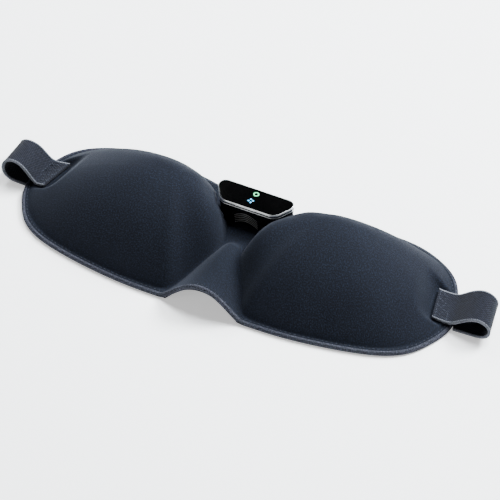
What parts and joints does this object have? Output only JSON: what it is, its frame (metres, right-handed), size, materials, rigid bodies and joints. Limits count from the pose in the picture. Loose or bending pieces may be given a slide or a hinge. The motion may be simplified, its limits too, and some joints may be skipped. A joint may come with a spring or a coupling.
{
  "type": "eye massager mask",
  "caption": "Contoured padded eye mask with vibrating cups, a nose bridge, webbing loops for a head strap and a lift-off control module with a lit key.",
  "frame": {"origin": "on the face plane at the bridge, midway between the two cups", "axes": "+X across the face, +Y to the brow, +Z away from the face"},
  "size_m": [0.2604, 0.0859, 0.0315],
  "materials": {
    "cover_knit": "fine jersey knit",
    "liner_knit": "soft brushed knit",
    "foam": "moulded foam",
    "heater_film": "thin film",
    "binding_tape": "folded knit tape",
    "webbing": "woven elastic webbing",
    "motor_steel": "satin",
    "weight_metal": "dull",
    "shell_gloss": "gloss",
    "inner_plastic": "matt",
    "bezel_metal": "bright line",
    "seam_metal": "satin line",
    "ring_green": "lit",
    "dots_cyan": "lit",
    "board_green": "solder mask",
    "cell_foil": "foil",
    "magnet_nickel": "plated",
    "contact_gold": "plated",
    "socket_steel": "satin"
  },
  "bodies": {
    "bridge": {"nose_vault": "cover_knit", "nose_liner": "liner_knit", "nose_binding": "binding_tape", "bridge_deck": "cover_knit", "bridge_liner": "liner_knit", "brow_binding": "binding_tape", "dock_tray": "inner_plastic", "dock_magnets": "magnet_nickel", "dock_pins": "contact_gold"},
    "left_cup": {"left_cover": "cover_knit", "left_liner": "liner_knit", "left_heater": "heater_film", "left_foam": "foam", "left_binding": "binding_tape", "left_strap_tail": "webbing", "left_inner_motor_can": "motor_steel", "left_inner_motor_lid": "motor_steel", "left_outer_motor_can": "motor_steel", "left_outer_motor_lid": "motor_steel"},
    "left_inner_rotor": {"left_inner_motor_weight": "weight_metal"},
    "left_outer_rotor": {"left_outer_motor_weight": "weight_metal"},
    "left_loop": {"left_strap_loop": "webbing"},
    "right_cup": {"right_cover": "cover_knit", "right_liner": "liner_knit", "right_heater": "heater_film", "right_foam": "foam", "right_binding": "binding_tape", "right_strap_tail": "webbing", "right_inner_motor_can": "motor_steel", "right_inner_motor_lid": "motor_steel", "right_outer_motor_can": "motor_steel", "right_outer_motor_lid": "motor_steel"},
    "right_inner_rotor": {"right_inner_motor_weight": "weight_metal"},
    "right_outer_rotor": {"right_outer_motor_weight": "weight_metal"},
    "right_loop": {"right_strap_loop": "webbing"},
    "control_module": {"module_lower_shell": "shell_gloss", "module_seam_band": "seam_metal", "module_upper_shell": "shell_gloss", "module_bezel": "bezel_metal", "module_grille": "inner_plastic", "module_screws": "motor_steel", "module_magnets": "magnet_nickel", "module_contacts": "contact_gold", "charging_socket": "socket_steel", "circuit_board": "board_green", "battery": "cell_foil", "key_switch": "inner_plastic"},
    "key": {"key_plate": "shell_gloss", "ring_light": "ring_green", "dot_lights": "dots_cyan"}
  },
  "joints": [
    {"name": "left_cup_flex", "type": "hinge", "parent": "bridge", "child": "left_cup", "pos_m": [-0.0055, 0, 0], "axis": [0, -1, 0], "range_deg": [0, 40], "stiffness_Nm_per_rad": 0.03},
    {"name": "left_loop_swing", "type": "hinge", "parent": "left_cup", "child": "left_loop", "pos_m": [-0.1142, 0.0075, 0.0042], "axis": [0, -1, 0], "range_deg": [-40, 10], "stiffness_Nm_per_rad": 0.002},
    {"name": "left_inner_motor_spin", "type": "hinge", "parent": "left_cup", "child": "left_inner_rotor", "pos_m": [-0.038, 0.01, 0.021], "axis": [0, 0, 1], "continuous": true},
    {"name": "left_outer_motor_spin", "type": "hinge", "parent": "left_cup", "child": "left_outer_rotor", "pos_m": [-0.068, 0.007, 0.0182], "axis": [0, 0, 1], "continuous": true},
    {"name": "right_cup_flex", "type": "hinge", "parent": "bridge", "child": "right_cup", "pos_m": [0.0055, 0, 0], "axis": [0, 1, 0], "range_deg": [0, 40], "stiffness_Nm_per_rad": 0.03},
    {"name": "right_loop_swing", "type": "hinge", "parent": "right_cup", "child": "right_loop", "pos_m": [0.1142, 0.0075, 0.0042], "axis": [0, 1, 0], "range_deg": [-40, 15], "stiffness_Nm_per_rad": 0.002},
    {"name": "right_inner_motor_spin", "type": "hinge", "parent": "right_cup", "child": "right_inner_rotor", "pos_m": [0.038, 0.01, 0.021], "axis": [0, 0, 1], "continuous": true},
    {"name": "right_outer_motor_spin", "type": "hinge", "parent": "right_cup", "child": "right_outer_rotor", "pos_m": [0.068, 0.007, 0.0182], "axis": [0, 0, 1], "continuous": true},
    {"name": "module_lift", "type": "slide", "parent": "bridge", "child": "control_module", "axis": [0, 0, 1], "range_m": [0, 0.02]},
    {"name": "key_press", "type": "slide", "parent": "control_module", "child": "key", "axis": [0, 0, -1], "range_m": [0, 0.0005], "stiffness_N_per_m": 300, "springref_m": -0.0004}
  ]
}
